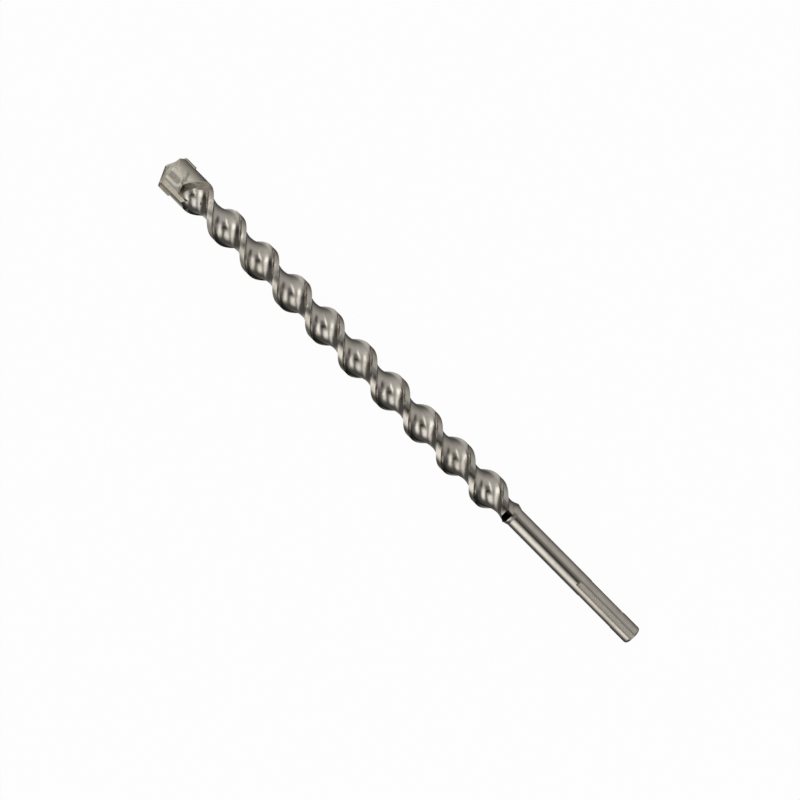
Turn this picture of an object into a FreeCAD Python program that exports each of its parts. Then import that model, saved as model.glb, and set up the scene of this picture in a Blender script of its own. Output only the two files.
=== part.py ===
import FreeCAD, Part
import math
import os

from FreeCAD import Vector

# Hammer drill bit with an 18 mm quick-change shank, lying on its side.
# The rotation axis is X. The origin is the middle of the shank's end face, the carbide tip points to +X, and the
# plate's broad faces look up and down. Stations are distances back from the tip, measured along the axis. At a
# station, "side" is the distance towards -Y and "out" is the distance towards +Z.

# Overall sizes, in millimetres and degrees
overall_length = 584.0
shank_diameter = 18.0
shank_end_round = 2.5
flute_diameter = 32.6
head_step = 0.05
cutting_overhang = 1.35

# Spiral: two lands round a thick web, right-handed
helix_lead = 81.2
land_side_station = 36.9
land_half_angle = 13.0
flute_depth = 8.0
web_crown_radius = 20.0
flank_fillet_radius = 7.0

# Run-out of the spiral into the shank
runout_start_station = 425.5
runout_end_station = 432.4
runout_end_radius = 10.4
collar_cone_length = 3.6
collar_length = 1.4
collar_radius = 9.9
core_radius = 7.6
neck_blend_length = 2.6

# Carbide plate
point_angle = 130.0
plate_thickness = 5.7
plate_length = 20.9
edge_offset = 0.85
relief_slope = 0.5
chamfer_slope = 1.0
side_clearance_angle = 8.0
trailing_bevel = 1.1
braze_gap = 0.05

# Front of the steel head: two flats on each half, as a station on the axis and what it gains per millimetre
clearance_flat = 3.92
clearance_flat_side = 0.4225
clearance_flat_out = -0.339
gullet_flat = 1.4
gullet_flat_side = -0.23
gullet_flat_out = 0.77

# Gullets: a flat floor beside each cutting edge, a wall at the land and a lip at the cutting edge
gullet_floor = 9.35
gullet_tilt = 9.75
gullet_wall_side = 3.2
gullet_wall_rake = 11.0
gullet_lip_side = 9.2
gullet_lip_height = 0.45
gullet_lip_width = 0.7
lip_crest_width = 3.8
lip_crest_tilt = 21.5
lip_bevel_tilt = 63.0
gullet_end = 20.6
gullet_end_side = -0.6
gullet_end_rake = 0.5
lip_length = 41.0

# Run-out of the flutes into the full round of the head: hollow, as a milling wheel leaves it
ramp_start = 25.8
ramp_angle = 60.0
wheel_radius = 16.5
wheel_turn = 50.4
wheel_dip = 28.7
head_fill_station = 42.0
head_fill_level = 2.0

# Drive grooves and locking recesses of the shank
drive_groove_width = 5.0
drive_groove_depth = 2.5
drive_groove_length = 67.0
drive_groove_angle = -8.0
rear_groove_spread = 38.0
groove_end_slope = 50.0
lock_recess_width = 7.0
lock_recess_depth = 2.6
lock_recess_start = 22.0
lock_recess_length = 36.0

# Values that follow from the sizes above
shank_radius = shank_diameter / 2
flute_radius = flute_diameter / 2
head_radius = flute_radius + head_step
cutting_radius = head_radius + cutting_overhang
web_half = flute_radius - flute_depth
half_plate = plate_thickness / 2
half_slot = half_plate + braze_gap
point_slope = 1 / math.tan(math.radians(point_angle / 2))
outside = cutting_radius + 4.0


def spot(station, side, out):
    """Return the point at a station, from its distances towards -Y and +Z."""
    return Vector(overall_length - station, -side, out)


def prism(start, end, corners):
    """Return the solid between two stations over a polygon of (side, out) corners."""
    points = [spot(start, side, out) for side, out in corners]
    face = Part.Face(Part.makePolygon(points + points[:1]))
    return face.extrude(Vector(start - end, 0, 0))


def in_front_of(station, side_gain, out_gain, sides, outs):
    """Return the block in front of a sloping flat, over a range of side and a range of out.

    The flat lies at the given station on the axis and moves back by each gain per millimetre of side and of out.
    """
    corners = []
    for side, out in ((sides[0], outs[0]), (sides[1], outs[0]), (sides[1], outs[1]), (sides[0], outs[1])):
        corners.append(spot(station + side_gain * side + out_gain * out, side, out))
    face = Part.Face(Part.makePolygon(corners + corners[:1]))
    return face.extrude(Vector(overall_length, 0, 0))


def turned(profile):
    """Return the solid turned about the axis from (station, radius) points."""
    points = [spot(station, -radius, 0) for station, radius in profile]
    face = Part.Face(Part.makePolygon(points + points[:1]))
    return face.revolve(Vector(0, 0, 0), Vector(1, 0, 0), 360)


def half_turn(shape):
    """Return a copy of a shape turned by 180 degrees about the axis."""
    copy = shape.copy()
    copy.rotate(Vector(0, 0, 0), Vector(1, 0, 0), 180)
    return copy


def land_direction(station):
    """Return the angle from -Y towards +Z at which one land stands at a station."""
    return 360 * (station - land_side_station) / helix_lead


def twisted(station, end, edges_at):
    """Sweep a section along the axis from one station forward to another, turning with the helix.

    edges_at takes a function from the section's own (along, across) distances to a point, and returns edges.
    """
    turn = math.radians(land_direction(station))

    def place(along, across):
        side = along * math.cos(turn) - across * math.sin(turn)
        out = along * math.sin(turn) + across * math.cos(turn)
        return spot(station, side, out)

    length = station - end
    spine = Part.Wire(Part.makeLine(spot(station, 0, 0), spot(end, 0, 0)))
    guide = Part.makeHelix(helix_lead, length, flute_diameter)
    guide.rotate(Vector(0, 0, 0), Vector(0, 1, 0), 90)
    guide.translate(spot(station, 0, 0))
    sweep = Part.BRepOffsetAPI.MakePipeShell(spine)
    sweep.setAuxiliarySpine(Part.Wire(guide.Edges), True, 0)
    sweep.add(Part.Wire(edges_at(place)))
    sweep.build()
    sweep.makeSolid()
    return sweep.shape()


def bar_section(place):
    """Return the edges of the two-lobed section: crowned webs, concave flanks and round lands."""
    corner_turn = math.radians(land_half_angle)
    corner = (flute_radius * math.cos(corner_turn), flute_radius * math.sin(corner_turn))
    crown_centre = web_half - web_crown_radius
    reach = math.hypot(corner[0], corner[1] - crown_centre)
    outer = web_crown_radius + flank_fillet_radius
    along_line = (outer ** 2 - flank_fillet_radius ** 2 + reach ** 2) / (2 * reach)
    off_line = math.sqrt(outer ** 2 - along_line ** 2)
    unit = (corner[0] / reach, (corner[1] - crown_centre) / reach)
    centre = (along_line * unit[0] - off_line * unit[1],
              crown_centre + along_line * unit[1] + off_line * unit[0])
    share = web_crown_radius / outer
    tangent = (centre[0] * share, crown_centre + (centre[1] - crown_centre) * share)
    bottom = math.atan2(tangent[1] - centre[1], tangent[0] - centre[0])
    end = math.atan2(corner[1] - centre[1], corner[0] - centre[0])
    middle = (bottom + end) / 2
    hollow = (centre[0] + flank_fillet_radius * math.cos(middle),
              centre[1] + flank_fillet_radius * math.sin(middle))
    edges = []
    for turn in (1, -1):
        def at(point, mirror=1, way=turn):
            return place(way * mirror * point[0], way * point[1])

        edges.append(Part.Arc(place(turn * corner[0], -turn * corner[1]), place(turn * flute_radius, 0),
                              at(corner)).toShape())
        edges.append(Part.Arc(at(corner), at(hollow), at(tangent)).toShape())
        edges.append(Part.Arc(at(tangent), at((0, web_half)), at(tangent, -1)).toShape())
        edges.append(Part.Arc(at(tangent, -1), at(hollow, -1), at(corner, -1)).toShape())
    return edges


def fill_section(place):
    """Return the edges of the half section that fills one flute beyond the head's radius."""
    half_chord = math.sqrt(outside ** 2 - head_fill_level ** 2)
    left = place(-half_chord, head_fill_level)
    right = place(half_chord, head_fill_level)
    return [Part.makeLine(left, right), Part.Arc(right, place(0, outside), left).toShape()]


def head_blank():
    """Return the steel that closes one flute in front of its hollow run-out."""
    turn = math.radians(wheel_turn)
    dip = math.radians(wheel_dip)
    rise = wheel_radius * math.cos(math.radians(ramp_angle))
    reach = wheel_radius * math.sin(math.radians(ramp_angle))
    axis = Vector(-math.cos(dip) * math.cos(turn), -math.cos(dip) * math.sin(turn), -math.sin(dip))
    up = Vector(-math.sin(dip) * math.cos(turn), -math.sin(dip) * math.sin(turn), math.cos(dip))
    back = Vector(-math.sin(turn), math.cos(turn), 0)
    middle = spot(ramp_start, 0, head_radius) + up * rise + back * reach
    wheel = Part.makeCylinder(wheel_radius, outside * 4, middle - axis * outside * 2, axis)
    blank = Part.makeCylinder(head_radius, head_fill_station, spot(head_fill_station, 0, 0), Vector(1, 0, 0))
    blank = blank.common(in_front_of(ramp_start + reach / math.sin(turn), 1 / math.tan(turn), 0.0,
                                     (-outside, outside), (-outside, outside)))
    blank = blank.cut(wheel)
    return blank.common(twisted(head_fill_station, 0.0, fill_section))


def front_flats():
    """Return the two cutters that shape the front of one half of the head."""
    sides = (-outside, outside)
    outs = (0, outside)
    return (in_front_of(clearance_flat, clearance_flat_side, clearance_flat_out, sides, outs),
            in_front_of(gullet_flat, gullet_flat_side, gullet_flat_out, sides, outs))


def gullet():
    """Return the cutters for one gullet: the pocket and the long flats along its lip."""
    tilt = math.radians(gullet_tilt)
    wall = math.radians(gullet_wall_rake)
    crest = math.radians(lip_crest_tilt)
    bevel = math.radians(lip_bevel_tilt)

    def floor_out(side):
        return (gullet_floor + side * math.sin(tilt)) / math.cos(tilt)

    inner = (gullet_wall_side, floor_out(gullet_wall_side))
    outer = (inner[0] + outside * math.sin(wall), inner[1] + outside * math.cos(wall))
    lip = (-gullet_lip_side, floor_out(-gullet_lip_side))
    crest_start = (lip[0] - gullet_lip_width, floor_out(lip[0] - gullet_lip_width) + gullet_lip_height)
    crest_end = (crest_start[0] - lip_crest_width * math.cos(crest),
                 crest_start[1] - lip_crest_width * math.sin(crest))
    bevel_end = (crest_end[0] - (crest_end[1] - half_slot) / math.tan(bevel), half_slot)
    pocket = prism(-1.0, lip_length, [inner, outer, (crest_start[0], outer[1]), crest_start, lip])
    end = in_front_of(gullet_end - gullet_end_rake * gullet_floor, gullet_end_side, gullet_end_rake,
                      (-outside, outside), (0, outer[1] + 1.0))
    flats = prism(-1.0, lip_length, [crest_start, (crest_start[0], outside), (-outside, outside),
                                     (-outside, half_slot), bevel_end, crest_end])
    return pocket.common(end), flats


def groove(angle, start, length, width, depth):
    """Return the cutter for a slot along the shank, measured from the shank's end, with sloping run-outs."""
    bottom = shank_radius - depth
    top = shank_radius + 1.0
    slope = (top - bottom) / math.tan(math.radians(groove_end_slope))
    corners = [Vector(start, -width / 2, bottom), Vector(start + length, -width / 2, bottom),
               Vector(start + length + slope, -width / 2, top), Vector(start - slope, -width / 2, top)]
    face = Part.Face(Part.makePolygon(corners + corners[:1]))
    cutter = face.extrude(Vector(0, width, 0))
    cutter.rotate(Vector(0, 0, 0), Vector(1, 0, 0), angle)
    return cutter


def shank():
    """Return the shank with its rounded end, its three open drive grooves and its two closed recesses."""
    collar_station = runout_end_station + collar_length
    core_station = runout_end_station - collar_cone_length
    body = turned([(core_station, 0), (core_station, core_radius), (runout_end_station, collar_radius),
                   (collar_station, collar_radius), (collar_station + neck_blend_length, shank_radius),
                   (overall_length, shank_radius), (overall_length, 0)])
    rim = [edge for edge in body.Edges if edge.BoundBox.XMax < 0.01 and edge.Closed and edge.Length > 1]
    body = body.makeFillet(shank_end_round, rim)
    past = drive_groove_depth * 4
    for angle in (drive_groove_angle, drive_groove_angle + 180 - rear_groove_spread,
                  drive_groove_angle + 180 + rear_groove_spread):
        body = body.cut(groove(angle, -past, past + drive_groove_length, drive_groove_width, drive_groove_depth))
    for angle in (drive_groove_angle + 90, drive_groove_angle - 90):
        body = body.cut(groove(angle, lock_recess_start, lock_recess_length, lock_recess_width,
                               lock_recess_depth))
    return body


def bit_body():
    """Return the steel body: shank, run-out, spiral and head, with the slot for the plate."""
    rear = runout_end_station + collar_length
    envelope = turned([(0.0, 0), (0.0, outside), (runout_start_station - outside + flute_radius, outside),
                       (runout_start_station, flute_radius), (runout_end_station, runout_end_radius),
                       (rear, core_radius), (rear, 0)])
    body = twisted(rear, 0.0, bar_section).common(envelope)
    body = body.fuse(shank())
    blank = head_blank()
    body = body.fuse(blank)
    body = body.fuse(half_turn(blank))
    for cutter in front_flats() + gullet():
        body = body.cut(cutter)
        body = body.cut(half_turn(cutter))
    slot = prism(-1.0, plate_length, [(-outside, -half_slot), (outside, -half_slot), (outside, half_slot),
                                      (-outside, half_slot)])
    return body.cut(slot)


def carbide_plate():
    """Return the plate: a roof with two cutting edges and a chisel edge, clearance on its ends."""
    outline = [(-cutting_radius, half_plate), (-cutting_radius, -half_plate), (cutting_radius, -half_plate),
               (cutting_radius, half_plate)]
    plate = prism(0.0, plate_length, outline)
    for gain, outs in ((relief_slope, (-edge_offset, outside)), (-chamfer_slope, (-outside, -edge_offset))):
        flat = in_front_of(gain * edge_offset, point_slope, gain, (-outside, outside), outs)
        plate = plate.cut(flat)
        plate = plate.cut(half_turn(flat))
    lean = math.tan(math.radians(side_clearance_angle))
    bevel_out = half_plate - trailing_bevel / 2
    bevel_side = cutting_radius - lean * (bevel_out + half_plate)
    end_cut = prism(-1.0, plate_length + 1.0,
                    [(cutting_radius, -half_plate), (bevel_side, bevel_out),
                     (bevel_side - trailing_bevel, half_plate), (outside, half_plate), (outside, -half_plate)])
    for cutter in (end_cut, half_turn(end_cut)):
        plate = plate.cut(cutter)
    return plate


def main():
    """Write each piece of the bit to its own file."""
    os.makedirs("parts", exist_ok=True)
    for name, shape in (("bit_body", bit_body()), ("carbide_plate", carbide_plate())):
        solids = shape.Solids
        print(name, "solids", len(solids), "valid", shape.isValid(), "volume", round(shape.Volume, 1))
        solids[0].exportStep("parts/" + name + ".step")


main()
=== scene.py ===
"""Looks, floor, light and camera for the hammer drill bit that is packed in the frame."""

import logging
import math
from dataclasses import dataclass
from enum import Enum
from typing import Union

import bpy
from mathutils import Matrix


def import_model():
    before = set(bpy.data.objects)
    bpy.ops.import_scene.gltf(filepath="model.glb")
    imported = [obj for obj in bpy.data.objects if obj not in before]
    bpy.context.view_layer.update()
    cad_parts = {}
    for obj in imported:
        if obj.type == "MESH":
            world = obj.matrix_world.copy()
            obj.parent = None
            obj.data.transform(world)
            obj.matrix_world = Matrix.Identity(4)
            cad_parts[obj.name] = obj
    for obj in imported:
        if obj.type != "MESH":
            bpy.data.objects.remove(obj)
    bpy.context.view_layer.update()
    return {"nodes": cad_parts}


LOG = logging.getLogger("drill_bit_scene")

Value = Union[bpy.types.NodeSocket, float, tuple]


class Node(str, Enum):
    """The CAD nodes that this scene dresses."""

    BODY = "bit_body"
    PLATE = "carbide_plate"


@dataclass(frozen=True)
class Grade:
    """A smooth step: where it starts and ends, and its level before and after."""

    start: float
    end: float
    low: float = 0.0
    high: float = 1.0


@dataclass(frozen=True)
class BodyZones:
    """Where the zones of the steel body lie, in metres.

    Depth is measured back from the tip. Side is measured from the axis towards the photograph's lower left
    on the upper half of the bit, and the other way on its lower half.
    """

    tip: float = 0.584
    head: Grade = Grade(0.5475, 0.5535)
    # The land end's zone gets painted shade.
    land_end_front: Grade = Grade(0.1592, 0.1576)
    land_end_rear: Grade = Grade(0.1508, 0.1518)
    land_end_radius: Grade = Grade(0.0097, 0.0102)
    land_end_side: Grade = Grade(-0.0012, 0.0004)
    # The rim's zone gets a painted highlight.
    rim_depth: float = 0.0125
    rim_side: float = 0.002
    rim_half_depth: float = 0.006
    rim_half_side: float = 0.0003
    rim_corner: float = 0.0038
    rim_edge: Grade = Grade(0.0019, 0.00076)
    rim_front: Grade = Grade(0.00711, 0.00858)
    smudge_depth: float = 0.0125
    smudge_side: float = 0.0012
    smudge_edge: Grade = Grade(0.0042, 0.00231)
    smudge_middle: Grade = Grade(0.00063, 0.0021)
    # The zone of painted shade along the gullet's far corner.
    corner_shade_depth: float = 0.0252
    corner_shade_slope: float = 0.45
    corner_shade_edge: Grade = Grade(0.0024, 0.00036)
    corner_shade_upper_end: Grade = Grade(-0.0125, -0.0065)
    corner_shade_lower_end: Grade = Grade(0.008, 0.005)
    runout_depth: float = 0.0227
    runout_slope: float = -0.88
    runout_front: Grade = Grade(-0.0006, 0.0004)
    runout_rear: Grade = Grade(0.0085, 0.00595)
    runout_side: Grade = Grade(0.003, -0.001)
    groove_radius: Grade = Grade(0.0086, 0.0083)
    groove_end: Grade = Grade(0.071, 0.07)


@dataclass(frozen=True)
class CameraPlan:
    """The photograph's viewpoint, over a spot on the bit's axis and looking straight down, in metres.

    The turn is about the line of sight, in degrees, and lays the bit across the frame as the photograph does.
    """

    foot_x: float = 0.356
    foot_y: float = 0.0
    distance: float = 1.663
    turn: float = 225.25
    frame_width: float = 0.704
    sensor: float = 36.0
    shift_x: float = 0.065
    shift_y: float = -0.0637
    reach: float = 50.0


@dataclass(frozen=True)
class WearPlan:
    """Textures of the metals' wear, with scales per metre."""

    blotch_scale: float = 55.0
    blotch_detail: float = 4.0
    blotch_share: float = 0.65
    fine_scale: float = 260.0
    fine_detail: float = 3.0
    fine_share: float = 0.35
    patch_roughness: float = 0.55
    dull: Grade = Grade(0.36, 0.66)
    stain_scale: float = 95.0
    stain_detail: float = 6.0
    stain_roughness: float = 0.7
    stain: Grade = Grade(0.56, 0.74)
    height_roughness: float = 0.5
    grain_detail: float = 2.0
    grain_share: float = 0.6
    scratch_detail: float = 5.0
    scratch_share: float = 0.4
    scratch_stretch: tuple = (0.12, 1.0, 1.0)


@dataclass(frozen=True)
class MetalFinish:
    """How one metal looks: its colours, its gloss and the size of its texture."""

    bright: tuple
    dull: tuple
    stain: tuple
    stain_amount: float
    roughness: float
    roughness_spread: float
    grain_scale: float
    scratch_scale: float
    bump: float


BODY_FINISH = MetalFinish(
    bright=(0.63, 0.605, 0.565, 1.0),
    dull=(0.53, 0.5, 0.455, 1.0),
    stain=(0.2, 0.165, 0.12, 1.0),
    stain_amount=0.22,
    roughness=0.12,
    roughness_spread=0.07,
    grain_scale=420.0,
    scratch_scale=90.0,
    bump=0.03,
)

HEAD_FINISH = MetalFinish(
    bright=(0.62, 0.59, 0.525, 1.0),
    dull=(0.5, 0.465, 0.4, 1.0),
    stain=(0.32, 0.27, 0.2, 1.0),
    stain_amount=0.3,
    roughness=0.24,
    roughness_spread=0.1,
    grain_scale=700.0,
    scratch_scale=130.0,
    bump=0.03,
)

PLATE_FINISH = MetalFinish(
    bright=(0.6, 0.57, 0.5, 1.0),
    dull=(0.44, 0.41, 0.35, 1.0),
    stain=(0.22, 0.18, 0.12, 1.0),
    stain_amount=0.3,
    roughness=0.3,
    roughness_spread=0.1,
    grain_scale=1100.0,
    scratch_scale=260.0,
    bump=0.08,
)

BUMP_DISTANCE = 0.0004
# Painted shade: near black laid on the slope where each land runs out into the shank, in place of its shadow.
LAND_END_PAINTED_SHADE = (0.012, 0.011, 0.009, 1.0)
SMUDGE_BROWN = (0.42, 0.37, 0.29, 1.0)
SMUDGE_AMOUNT = 0.4
# Painted shade: dark brown laid along the gullet's far corner.
GULLET_CORNER_SHADE = (0.1, 0.085, 0.065, 1.0)
GULLET_CORNER_SHADE_AMOUNT = 0.55
# Painted highlight: near white laid along the rim of the gullet's floor, where its edge catches the light.
RIM_PAINTED_HIGHLIGHT = (0.97, 0.95, 0.9, 1.0)
MILLED_GREY = (0.66, 0.63, 0.575, 1.0)
MILLED_ROUGHNESS = 0.5


@dataclass(frozen=True)
class Panel:
    """A soft panel or a dark flag of the studio, by the direction in which the bit sees it, in degrees.

    Along is measured from straight up towards the shank, and across from straight up towards the side of the
    photograph's lower left.
    """

    along: float
    across: float
    lean: float
    half_width: float
    half_length: float
    strength: float


PANELS = (
    Panel(along=-29.0, across=38.0, lean=0.2, half_width=9.5, half_length=68.0, strength=1.1),
    Panel(along=-39.0, across=-5.0, lean=0.15, half_width=8.0, half_length=19.0, strength=0.65),
    Panel(along=-10.5, across=-24.0, lean=0.03, half_width=4.5, half_length=32.0, strength=1.2),
    Panel(along=6.5, across=57.5, lean=0.17, half_width=13.0, half_length=33.0, strength=1.2),
    Panel(along=35.0, across=24.0, lean=0.19, half_width=8.5, half_length=38.0, strength=1.35),
    Panel(along=-16.0, across=20.0, lean=0.2, half_width=9.0, half_length=60.0, strength=0.25),
    Panel(along=-92.0, across=-10.0, lean=0.0, half_width=18.0, half_length=60.0, strength=0.2),
    Panel(along=-75.0, across=131.0, lean=0.5, half_width=24.0, half_length=20.0, strength=0.4),
    Panel(along=119.0, across=80.0, lean=0.15, half_width=15.0, half_length=34.0, strength=0.3),
    Panel(along=-106.0, across=20.0, lean=0.0, half_width=11.0, half_length=12.0, strength=1.0),
    Panel(along=-119.0, across=-45.0, lean=0.0, half_width=12.0, half_length=12.0, strength=1.1),
)

FLAGS = (
    Panel(along=8.5, across=5.0, lean=0.3, half_width=9.5, half_length=11.0, strength=0.85),
    Panel(along=8.0, across=-20.0, lean=0.1, half_width=10.0, half_length=16.0, strength=0.55),
    Panel(along=37.0, across=-38.0, lean=0.2, half_width=8.0, half_length=26.0, strength=0.85),
    Panel(along=-54.0, across=10.0, lean=0.12, half_width=8.0, half_length=36.0, strength=0.7),
    Panel(along=-84.0, across=43.0, lean=0.0, half_width=12.0, half_length=12.0, strength=1.0),
)

PANEL_EDGE_POWER = 3.0
SMALLEST_FLAT = 0.0001

# The room's own level: it follows the angle across, and falls towards the shank's side with the angle along
ROOM_BASE_LEVEL = 0.1
UPPER_RISE = Grade(start=-150.0, end=-62.0)
UPPER_FALL = Grade(start=-45.0, end=20.0, low=0.44, high=0.0)
LOWER_RISE = Grade(start=118.0, end=168.0, low=0.0, high=0.1)
SHANK_SIDE = Grade(start=50.0, end=92.0, low=1.0, high=0.15)

ROOM_TINT = (1.0, 0.975, 0.93, 1.0)
WHITE = (1.0, 1.0, 1.0, 1.0)
FLOOR_PALE = (0.86, 0.86, 0.86, 1.0)
FLOOR_ROUGHNESS = 0.9
FLOOR_WHITE = 0.97
FLOOR_SIZE = 12.0
FLOOR_CENTRE = (0.3, 0.0, -0.01635)


class NodeCanvas:
    """Adds and joins nodes in one shader node tree."""

    def __init__(self, tree: bpy.types.ShaderNodeTree) -> None:
        """Take the tree to work in.

        Args:
            tree: The node tree of a group, a material or the world.
        """
        self.tree = tree

    def add(self, kind: str, **settings) -> bpy.types.Node:
        """Add a node.

        Args:
            kind: The node's type.
            **settings: Attributes to set on it.

        Returns:
            The new node.
        """
        node = self.tree.nodes.new(kind)
        for key, value in settings.items():
            setattr(node, key, value)
        return node

    def feed(self, target: bpy.types.NodeSocket, value: Value) -> None:
        """Join a socket to an input, or set the input to a value.

        Args:
            target: The input.
            value: A socket, a number or a colour.
        """
        if isinstance(value, bpy.types.NodeSocket):
            self.tree.links.new(value, target)
        else:
            target.default_value = value

    def math(self, operation: str, *values: Value) -> bpy.types.NodeSocket:
        """Add a math node.

        Args:
            operation: The math operation.
            *values: Its one or two inputs.

        Returns:
            The result's socket.
        """
        node = self.add("ShaderNodeMath", operation=operation)
        for target, value in zip(node.inputs, values):
            self.feed(target, value)
        return node.outputs[0]

    def length(self, first: Value, second: Value) -> bpy.types.NodeSocket:
        """Work out the length across two legs at right angles.

        Args:
            first: One leg.
            second: The other leg.

        Returns:
            The length's socket.
        """
        squares = [self.math("MULTIPLY", leg, leg) for leg in (first, second)]
        return self.math("SQRT", self.math("ADD", *squares))

    def product(self, *masks: Value) -> bpy.types.NodeSocket:
        """Multiply masks.

        Args:
            *masks: The masks.

        Returns:
            The product's socket.
        """
        result = masks[0]
        for mask in masks[1:]:
            result = self.math("MULTIPLY", result, mask)
        return result

    def split(self, vector: Value) -> tuple:
        """Split a vector.

        Args:
            vector: The vector's socket.

        Returns:
            The sockets of its x, y and z.
        """
        node = self.add("ShaderNodeSeparateXYZ")
        self.feed(node.inputs["Vector"], vector)
        return tuple(node.outputs[name] for name in ("X", "Y", "Z"))

    def noise(self, vector: Value, scale: Value, detail: float, roughness: float) -> bpy.types.NodeSocket:
        """Add a noise texture.

        Args:
            vector: The coordinates.
            scale: The texture's scale, per metre.
            detail: How many octaves it has.
            roughness: How strong the fine octaves are.

        Returns:
            The noise value's socket.
        """
        node = self.add("ShaderNodeTexNoise")
        values = {"Vector": vector, "Scale": scale, "Detail": detail, "Roughness": roughness}
        for name, value in values.items():
            self.feed(node.inputs[name], value)
        return node.outputs["Fac"]

    def step(self, value: Value, grade: Grade) -> bpy.types.NodeSocket:
        """Step smoothly from one level to another.

        Args:
            value: What the step follows.
            grade: The step.

        Returns:
            The level's socket.
        """
        node = self.add("ShaderNodeMapRange", interpolation_type="SMOOTHSTEP")
        ends = {"From Min": grade.start, "From Max": grade.end, "To Min": grade.low, "To Max": grade.high}
        for name, end in ends.items():
            self.feed(node.inputs[name], end)
        self.feed(node.inputs["Value"], value)
        return node.outputs["Result"]

    def spread(self, mask: Value, low: Value, high: Value) -> bpy.types.NodeSocket:
        """Spread a mask evenly over a range.

        Args:
            mask: The mask.
            low: The result at 0.
            high: The result at 1.

        Returns:
            The result's socket.
        """
        node = self.add("ShaderNodeMapRange")
        for name, value in (("Value", mask), ("To Min", low), ("To Max", high)):
            self.feed(node.inputs[name], value)
        return node.outputs["Result"]

    def mix(self, factor: Value, first: Value, second: Value) -> bpy.types.NodeSocket:
        """Mix two colours.

        Args:
            factor: What chooses between them.
            first: The colour at 0.
            second: The colour at 1.

        Returns:
            The mixed colour's socket.
        """
        node = self.add("ShaderNodeMix", data_type="RGBA")
        self.feed(node.inputs["Factor"], factor)
        colours = [socket for socket in node.inputs if socket.type == "RGBA"]
        for target, value in zip(colours, (first, second)):
            self.feed(target, value)
        return next(socket for socket in node.outputs if socket.type == "RGBA")

    def mix_shaders(self, factor: Value, first: Value, second: Value) -> bpy.types.NodeSocket:
        """Mix two shaders.

        Args:
            factor: What chooses between them.
            first: The shader at 0.
            second: The shader at 1.

        Returns:
            The mixed shader's socket.
        """
        node = self.add("ShaderNodeMixShader")
        for target, value in zip(node.inputs, (factor, first, second)):
            self.feed(target, value)
        return node.outputs["Shader"]

    def glow(self, kind: str, colour: tuple, strength: Value) -> bpy.types.NodeSocket:
        """Add a background or emission shader.

        Args:
            kind: The shader node's type.
            colour: Its colour.
            strength: Its strength.

        Returns:
            The shader's socket.
        """
        node = self.add(kind)
        self.feed(node.inputs["Color"], colour)
        self.feed(node.inputs["Strength"], strength)
        return node.outputs[0]


class NodeGroupBuilder(NodeCanvas):
    """Builds one shader node group with its inputs and outputs."""

    def __init__(self, name: str) -> None:
        """Start an empty group.

        Args:
            name: The group's name.
        """
        super().__init__(bpy.data.node_groups.new(name, "ShaderNodeTree"))
        self.given = self.add("NodeGroupInput").outputs
        self.made = self.add("NodeGroupOutput").inputs

    def take(self, kind: str, *names: str) -> None:
        """Add inputs to the group.

        Args:
            kind: Their socket type.
            *names: Their names.
        """
        for name in names:
            self.tree.interface.new_socket(name=name, in_out="INPUT", socket_type=kind)

    def give(self, *names: str) -> None:
        """Add outputs for values to the group.

        Args:
            *names: Their names.
        """
        for name in names:
            self.tree.interface.new_socket(name=name, in_out="OUTPUT", socket_type="NodeSocketFloat")


def build_wear_group(plan: WearPlan) -> bpy.types.ShaderNodeTree:
    """Build the group that gives the metals their blotches, grain and fine scratches.

    Args:
        plan: The textures.

    Returns:
        The group, with a mask for the dull patches, one for stains, and a height for the bump.
    """
    group = NodeGroupBuilder("metal_wear")
    group.take("NodeSocketFloat", "Grain Scale", "Scratch Scale")
    group.give("Dull Mask", "Stain Mask", "Height")
    place = group.add("ShaderNodeTexCoord").outputs["Object"]

    blotch = group.noise(place, plan.blotch_scale, plan.blotch_detail, plan.patch_roughness)
    fine = group.noise(place, plan.fine_scale, plan.fine_detail, plan.patch_roughness)
    patches = group.math(
        "ADD",
        group.math("MULTIPLY", blotch, plan.blotch_share),
        group.math("MULTIPLY", fine, plan.fine_share),
    )
    group.feed(group.made["Dull Mask"], group.step(patches, plan.dull))

    stain = group.noise(place, plan.stain_scale, plan.stain_detail, plan.stain_roughness)
    group.feed(group.made["Stain Mask"], group.step(stain, plan.stain))

    stretch = group.add("ShaderNodeMapping")
    group.feed(stretch.inputs["Scale"], plan.scratch_stretch)
    group.feed(stretch.inputs["Vector"], place)
    drawn_out = stretch.outputs["Vector"]
    grain = group.noise(place, group.given["Grain Scale"], plan.grain_detail, plan.height_roughness)
    scratch = group.noise(
        drawn_out, group.given["Scratch Scale"], plan.scratch_detail, plan.height_roughness
    )
    height = group.math(
        "ADD",
        group.math("MULTIPLY", grain, plan.grain_share),
        group.math("MULTIPLY", scratch, plan.scratch_share),
    )
    group.feed(group.made["Height"], height)
    return group.tree


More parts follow.
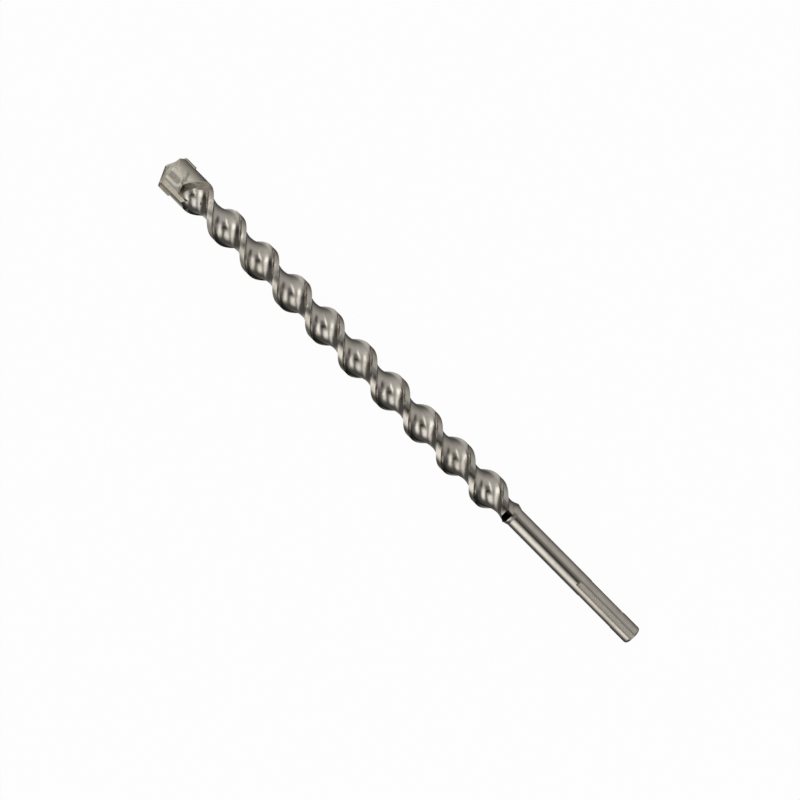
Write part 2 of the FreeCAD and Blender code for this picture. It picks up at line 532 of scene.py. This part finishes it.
class ZoneGroup(NodeGroupBuilder):
    """Tells the zones of the steel body apart by their place on it.

    The bit looks the same after half a turn about its axis, and so do its zones.
    """

    def __init__(self, zones: BodyZones) -> None:
        """Build the group's masks.

        Args:
            zones: Where the zones lie.
        """
        super().__init__("body_zones")
        self.give("Head", "Land End Shade", "Smudge", "Corner Shade", "Rim Highlight", "Milled")
        self.zones = zones
        self.x, y, z = self.split(self.add("ShaderNodeTexCoord").outputs["Object"])
        self.side = self.math("MULTIPLY", y, self.math("SIGN", z))
        self.depth = self.math("SUBTRACT", zones.tip, self.x)
        self.radius = self.length(y, z)
        masks = {
            "Head": self.step(self.x, zones.head),
            "Land End Shade": self._land_end_shade(),
            "Smudge": self._smudge(),
            "Corner Shade": self._corner_shade(),
            "Rim Highlight": self._rim_highlight(),
            "Milled": self.math("MAXIMUM", self._runout(), self._grooves()),
        }
        for name, mask in masks.items():
            self.feed(self.made[name], mask)

    def beyond(self, value: Value, centre: float, half: float) -> bpy.types.NodeSocket:
        """Work out how far a value lies beyond a span.

        Args:
            value: The value.
            centre: The middle of the span.
            half: Half its width.

        Returns:
            The socket with the distance, which is 0 within the span.
        """
        apart = self.math("ABSOLUTE", self.math("SUBTRACT", value, centre))
        return self.math("MAXIMUM", self.math("SUBTRACT", apart, half), 0.0)

    def behind(self, depth: float, slope: float) -> bpy.types.NodeSocket:
        """Work out how far back a place lies from a line drawn across the bit.

        Args:
            depth: Where the line crosses the axis.
            slope: How far back the line moves for each metre of side.

        Returns:
            The distance's socket.
        """
        line = self.math("ADD", depth, self.math("MULTIPLY", self.side, slope))
        return self.math("SUBTRACT", self.depth, line)

    def _land_end_shade(self) -> bpy.types.NodeSocket:
        """Mark the slope where a land ends at the shank, which is painted near black as shade.

        Returns:
            The mask's socket.
        """
        zones = self.zones
        return self.product(
            self.step(self.x, zones.land_end_front),
            self.step(self.x, zones.land_end_rear),
            self.step(self.radius, zones.land_end_radius),
            self.step(self.side, zones.land_end_side),
        )

    def _rim_highlight(self) -> bpy.types.NodeSocket:
        """Mark the painted highlight on the rim round the gullet's floor, open towards the tip.

        Returns:
            The mask's socket.
        """
        zones = self.zones
        over_depth = self.beyond(self.depth, zones.rim_depth, zones.rim_half_depth)
        over_side = self.beyond(self.side, zones.rim_side, zones.rim_half_side)
        reach = self.length(over_depth, over_side)
        miss = self.math("ABSOLUTE", self.math("SUBTRACT", reach, zones.rim_corner))
        return self.product(self.step(miss, zones.rim_edge), self.step(self.depth, zones.rim_front))

    def _smudge(self) -> bpy.types.NodeSocket:
        """Mark the ring-shaped smudge on the gullet's floor.

        Returns:
            The mask's socket.
        """
        zones = self.zones
        apart = self.length(
            self.math("SUBTRACT", self.depth, zones.smudge_depth),
            self.math("SUBTRACT", self.side, zones.smudge_side),
        )
        return self.product(self.step(apart, zones.smudge_edge), self.step(apart, zones.smudge_middle))

    def _corner_shade(self) -> bpy.types.NodeSocket:
        """Mark the painted shade along the gullet's far corner.

        Returns:
            The mask's socket.
        """
        zones = self.zones
        miss = self.math("ABSOLUTE", self.behind(zones.corner_shade_depth, zones.corner_shade_slope))
        return self.product(
            self.step(miss, zones.corner_shade_edge),
            self.step(self.side, zones.corner_shade_upper_end),
            self.step(self.side, zones.corner_shade_lower_end),
        )

    def _runout(self) -> bpy.types.NodeSocket:
        """Mark the milled run-out of each flute at the head.

        Returns:
            The mask's socket.
        """
        zones = self.zones
        behind = self.behind(zones.runout_depth, zones.runout_slope)
        return self.product(
            self.step(behind, zones.runout_front),
            self.step(behind, zones.runout_rear),
            self.step(self.side, zones.runout_side),
        )

    def _grooves(self) -> bpy.types.NodeSocket:
        """Mark the milled grooves of the shank.

        Returns:
            The mask's socket.
        """
        deep = self.step(self.radius, self.zones.groove_radius)
        return self.product(deep, self.step(self.x, self.zones.groove_end))


class MetalMaterial(NodeCanvas):
    """One metal, built from a finish and the shared wear group."""

    def __init__(self, name: str, finish: MetalFinish, wear: bpy.types.ShaderNodeTree) -> None:
        """Build the material.

        Args:
            name: The material's name.
            finish: Its colours and gloss.
            wear: The wear node group.
        """
        self.material = bpy.data.materials.new(name)
        self.material.use_nodes = True
        super().__init__(self.material.node_tree)
        self.wear = wear
        self.finish = finish
        self.shader = self.tree.nodes["Principled BSDF"]
        self.shader.inputs["Metallic"].default_value = 1.0
        self.colour, self.roughness, height = self.finish_sockets(finish)
        self.bump = self.add("ShaderNodeBump")
        self.bump.inputs["Strength"].default_value = finish.bump
        self.bump.inputs["Distance"].default_value = BUMP_DISTANCE
        self.feed(self.bump.inputs["Height"], height)
        self.feed(self.shader.inputs["Normal"], self.bump.outputs["Normal"])

    def finish_sockets(self, finish: MetalFinish) -> tuple:
        """Wire one finish with its wear.

        Args:
            finish: The finish.

        Returns:
            The sockets with its colour, roughness and height.
        """
        wear = self.add("ShaderNodeGroup", node_tree=self.wear)
        wear.inputs["Grain Scale"].default_value = finish.grain_scale
        wear.inputs["Scratch Scale"].default_value = finish.scratch_scale
        colour = self.mix(wear.outputs["Dull Mask"], finish.bright, finish.dull)
        stained = self.spread(wear.outputs["Stain Mask"], 0.0, finish.stain_amount)
        colour = self.mix(stained, colour, finish.stain)
        roughest = finish.roughness + finish.roughness_spread
        rough = self.spread(wear.outputs["Dull Mask"], finish.roughness, roughest)
        return colour, rough, wear.outputs["Height"]

    def add_zones(self, zones: bpy.types.ShaderNodeTree, head: MetalFinish) -> None:
        """Lay the head's finish and the zones' colours over the metal, painted shade and a painted highlight
        among them.

        Args:
            zones: The zone node group.
            head: The head's finish.
        """
        zone = self.add("ShaderNodeGroup", node_tree=zones).outputs
        colour, rough, _ = self.finish_sockets(head)
        colour = self.mix(self.spread(zone["Smudge"], 0.0, SMUDGE_AMOUNT), colour, SMUDGE_BROWN)
        # Painted highlight along the rim of the gullet's floor.
        colour = self.mix(zone["Rim Highlight"], colour, RIM_PAINTED_HIGHLIGHT)
        # Painted shade along the gullet's far corner.
        colour = self.mix(self.spread(zone["Corner Shade"], 0.0, GULLET_CORNER_SHADE_AMOUNT), colour, GULLET_CORNER_SHADE)
        self.colour = self.mix(zone["Head"], self.colour, colour)
        # Painted shade on the slope where each land ends at the shank.
        self.colour = self.mix(zone["Land End Shade"], self.colour, LAND_END_PAINTED_SHADE)
        self.colour = self.mix(zone["Milled"], self.colour, MILLED_GREY)
        rough = self.spread(zone["Head"], self.roughness, rough)
        self.roughness = self.spread(zone["Milled"], rough, MILLED_ROUGHNESS)
        bump = self.spread(zone["Head"], self.finish.bump, head.bump)
        self.feed(self.bump.inputs["Strength"], bump)

    def join(self) -> bpy.types.Material:
        """Join the colour and the roughness to the shader.

        Returns:
            The finished material.
        """
        self.feed(self.shader.inputs["Base Color"], self.colour)
        self.feed(self.shader.inputs["Roughness"], self.roughness)
        return self.material


def dress(node: bpy.types.Object, material: bpy.types.Material) -> None:
    """Give a CAD node its material.

    Args:
        node: The CAD node's object.
        material: The material it shows.
    """
    node.data.materials.clear()
    node.data.materials.append(material)


def build_direction_group() -> bpy.types.ShaderNodeTree:
    """Build the group that turns a direction into two angles from straight up.

    Returns:
        The group, with the angle towards the shank and the angle towards +Y, in degrees.
    """
    group = NodeGroupBuilder("studio_direction")
    group.take("NodeSocketVector", "Direction")
    group.give("Along", "Across")
    x, y, z = group.split(group.given["Direction"])
    angle = group.math("MULTIPLY", group.math("ARCCOSINE", z), math.degrees(1.0))
    flat = group.math("MAXIMUM", group.length(x, y), SMALLEST_FLAT)
    gain = group.math("DIVIDE", angle, flat)
    group.feed(group.made["Along"], group.math("MULTIPLY", gain, group.math("MULTIPLY", x, -1.0)))
    group.feed(group.made["Across"], group.math("MULTIPLY", gain, y))
    return group.tree


def build_panel_group() -> bpy.types.ShaderNodeTree:
    """Build the group that draws one soft-edged panel among the studio's directions.

    Returns:
        The group, with the panel's mask from 0 to 1.
    """
    group = NodeGroupBuilder("studio_panel")
    group.take("NodeSocketFloat", "Along", "Across", "Centre Along", "Centre Across")
    group.take("NodeSocketFloat", "Lean", "Half Width", "Half Length")
    group.give("Mask")
    given = group.given
    down = group.math("SUBTRACT", given["Across"], given["Centre Across"])
    right = group.math("SUBTRACT", given["Along"], given["Centre Along"])
    right = group.math("SUBTRACT", right, group.math("MULTIPLY", down, given["Lean"]))
    fades = []
    for offset, half in ((right, given["Half Width"]), (down, given["Half Length"])):
        share = group.math("ABSOLUTE", group.math("DIVIDE", offset, half))
        falloff = group.math("POWER", share, PANEL_EDGE_POWER)
        fades.append(group.math("EXPONENT", group.math("MULTIPLY", falloff, -1.0)))
    group.feed(group.made["Mask"], group.product(*fades))
    return group.tree


class Studio(NodeGroupBuilder):
    """The room round the bit: a grey level with soft panels and dark flags, told by direction alone."""

    def __init__(self) -> None:
        """Build the group with the room's level."""
        super().__init__("studio_level")
        self.take("NodeSocketVector", "Direction")
        self.give("Level")
        self.panel_tree = build_panel_group()
        angles = self.add("ShaderNodeGroup", node_tree=build_direction_group())
        self.feed(angles.inputs["Direction"], self.given["Direction"])
        self.angles = angles.outputs
        level = self._room_level()
        for panel in PANELS:
            level = self.math("ADD", level, self._share(panel))
        for flag in FLAGS:
            level = self.math("MULTIPLY", level, self.math("SUBTRACT", 1.0, self._share(flag)))
        self.feed(self.made["Level"], level)

    def _room_level(self) -> bpy.types.NodeSocket:
        """Grade the room from its lighter side to its darker side.

        Returns:
            The socket with the room's level.
        """
        across = self.angles["Across"]
        level = self.math("MULTIPLY", self.step(across, UPPER_RISE), self.step(across, UPPER_FALL))
        level = self.math("ADD", level, self.step(across, LOWER_RISE))
        level = self.math("ADD", level, ROOM_BASE_LEVEL)
        return self.math("MULTIPLY", level, self.step(self.angles["Along"], SHANK_SIDE))

    def _share(self, panel: Panel) -> bpy.types.NodeSocket:
        """Draw one panel or flag with its strength.

        Args:
            panel: The panel or flag.

        Returns:
            The socket with its share in the level.
        """
        node = self.add("ShaderNodeGroup", node_tree=self.panel_tree)
        values = {
            "Along": self.angles["Along"],
            "Across": self.angles["Across"],
            "Centre Along": panel.along,
            "Centre Across": panel.across,
            "Lean": panel.lean,
            "Half Width": panel.half_width,
            "Half Length": panel.half_length,
        }
        for name, value in values.items():
            self.feed(node.inputs[name], value)
        return self.math("MULTIPLY", node.outputs["Mask"], panel.strength)

    def level_in(self, canvas: NodeCanvas, direction: bpy.types.NodeSocket) -> bpy.types.NodeSocket:
        """Read the room's level in another node tree.

        Args:
            canvas: The tree's canvas.
            direction: The direction to look in.

        Returns:
            The level's socket.
        """
        node = canvas.add("ShaderNodeGroup", node_tree=self.tree)
        canvas.feed(node.inputs["Direction"], direction)
        return node.outputs["Level"]

    def light_world(self) -> None:
        """Make the room the world's light, with a white background for the camera."""
        world = bpy.data.worlds.new("studio")
        world.use_nodes = True
        canvas = NodeCanvas(world.node_tree)
        level = self.level_in(canvas, canvas.add("ShaderNodeTexCoord").outputs["Generated"])
        room = canvas.glow("ShaderNodeBackground", ROOM_TINT, level)
        white = canvas.glow("ShaderNodeBackground", WHITE, 1.0)
        camera_ray = canvas.add("ShaderNodeLightPath").outputs["Is Camera Ray"]
        shown = canvas.mix_shaders(camera_ray, room, white)
        canvas.feed(canvas.tree.nodes["World Output"].inputs["Surface"], shown)
        bpy.context.scene.world = world

    def lay_floor(self) -> None:
        """Lay the pale floor under the bit.

        It is white to the camera, and has the room's level where the metal mirrors it.
        """
        bpy.ops.mesh.primitive_plane_add(size=FLOOR_SIZE, location=FLOOR_CENTRE)
        floor = bpy.context.object
        floor.name = "floor"
        material = bpy.data.materials.new("pale_floor")
        material.use_nodes = True
        canvas = NodeCanvas(material.node_tree)
        pale = canvas.tree.nodes["Principled BSDF"]
        pale.inputs["Base Color"].default_value = FLOOR_PALE
        pale.inputs["Roughness"].default_value = FLOOR_ROUGHNESS
        ray = canvas.add("ShaderNodeVectorMath", operation="SCALE")
        ray.inputs["Scale"].default_value = -1.0
        canvas.feed(ray.inputs[0], canvas.add("ShaderNodeNewGeometry").outputs["Incoming"])
        level = self.level_in(canvas, ray.outputs["Vector"])
        mirrored = canvas.glow("ShaderNodeEmission", ROOM_TINT, level)
        white = canvas.glow("ShaderNodeEmission", WHITE, 1.0)
        path = canvas.add("ShaderNodeLightPath").outputs
        lit = canvas.mix_shaders(path["Is Glossy Ray"], pale.outputs["BSDF"], mirrored)
        seen = canvas.math("MULTIPLY", path["Is Camera Ray"], FLOOR_WHITE)
        shown = canvas.mix_shaders(seen, lit, white)
        canvas.feed(canvas.tree.nodes["Material Output"].inputs["Surface"], shown)
        floor.data.materials.append(material)


def add_camera(plan: CameraPlan) -> None:
    """Set up the camera at the photograph's viewpoint.

    Args:
        plan: Where the camera stands and what it frames.
    """
    data = bpy.data.cameras.new("camera")
    data.sensor_width = plan.sensor
    data.lens = plan.sensor * plan.distance / plan.frame_width
    data.shift_x = plan.shift_x
    data.shift_y = plan.shift_y
    data.clip_end = plan.reach
    camera = bpy.data.objects.new("camera", data)
    bpy.context.collection.objects.link(camera)
    camera.location = (plan.foot_x, plan.foot_y, plan.distance)
    camera.rotation_euler = (0.0, 0.0, math.radians(plan.turn))
    bpy.context.scene.camera = camera


def main() -> None:
    """Dress the frame, light it and set the camera."""
    logging.basicConfig(level=logging.INFO)
    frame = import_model()
    wear = build_wear_group(WearPlan())
    body = MetalMaterial("bit_steel", BODY_FINISH, wear)
    body.add_zones(ZoneGroup(BodyZones()).tree, HEAD_FINISH)
    plate = MetalMaterial("sintered_carbide", PLATE_FINISH, wear)
    dress(frame["nodes"][Node.BODY.value], body.join())
    dress(frame["nodes"][Node.PLATE.value], plate.join())
    studio = Studio()
    studio.light_world()
    studio.lay_floor()
    add_camera(CameraPlan())
    bpy.context.scene.view_settings.view_transform = "Standard"
    LOG.info("scene is ready")


if __name__ == "__main__":
    main()
